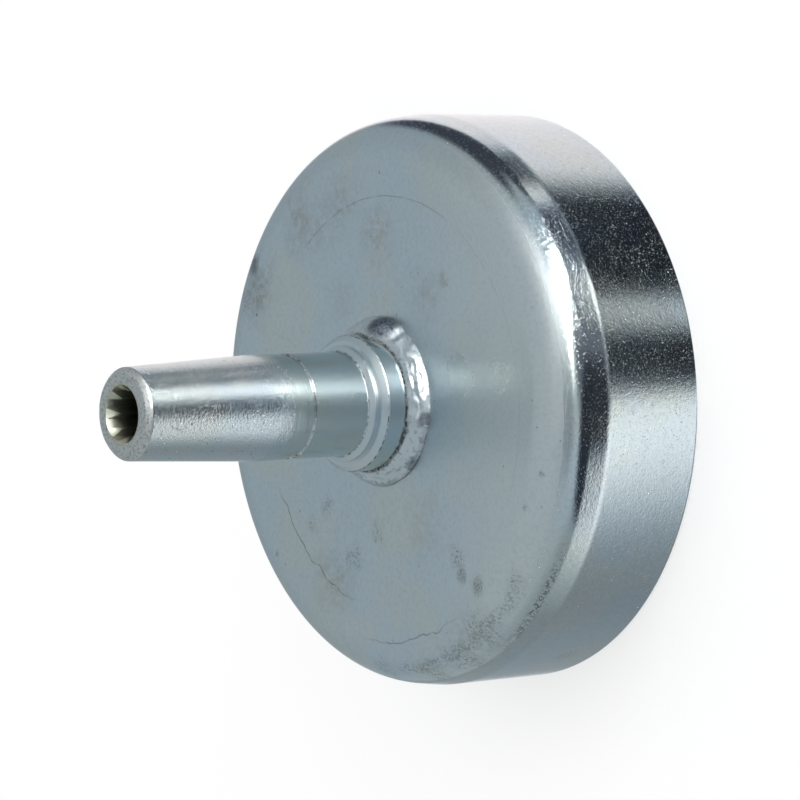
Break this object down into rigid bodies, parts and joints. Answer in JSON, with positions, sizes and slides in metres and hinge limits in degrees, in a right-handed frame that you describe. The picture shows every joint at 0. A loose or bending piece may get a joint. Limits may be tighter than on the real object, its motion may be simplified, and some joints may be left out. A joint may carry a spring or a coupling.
{
  "type": "clutch drum",
  "caption": "Cup-shaped zinc-plated clutch drum with a hollow shaft welded to its face: collar, bearing seat, ring groove, taper and internally splined tip.",
  "frame": {"origin": "centre of the drum's mouth rim, on the surface that the drum stands on", "axes": "+Z along the drum's axis, from the mouth rim to the shaft's splined tip"},
  "size_m": [0.083, 0.083, 0.0688],
  "materials": {
    "zinc_sheet": "blue-passivated zinc plating on pressed sheet, semi-gloss, stained and scuffed",
    "zinc_turned": "blue-passivated zinc plating on a turned shaft, fine turning lines",
    "zinc_weld": "zinc plating over a rough weld bead, bright with dark crevices"
  },
  "bodies": {
    "root": {"drum_cup": "zinc_sheet", "splined_shaft": "zinc_turned", "weld_bead": "zinc_weld"}
  },
  "joints": []
}
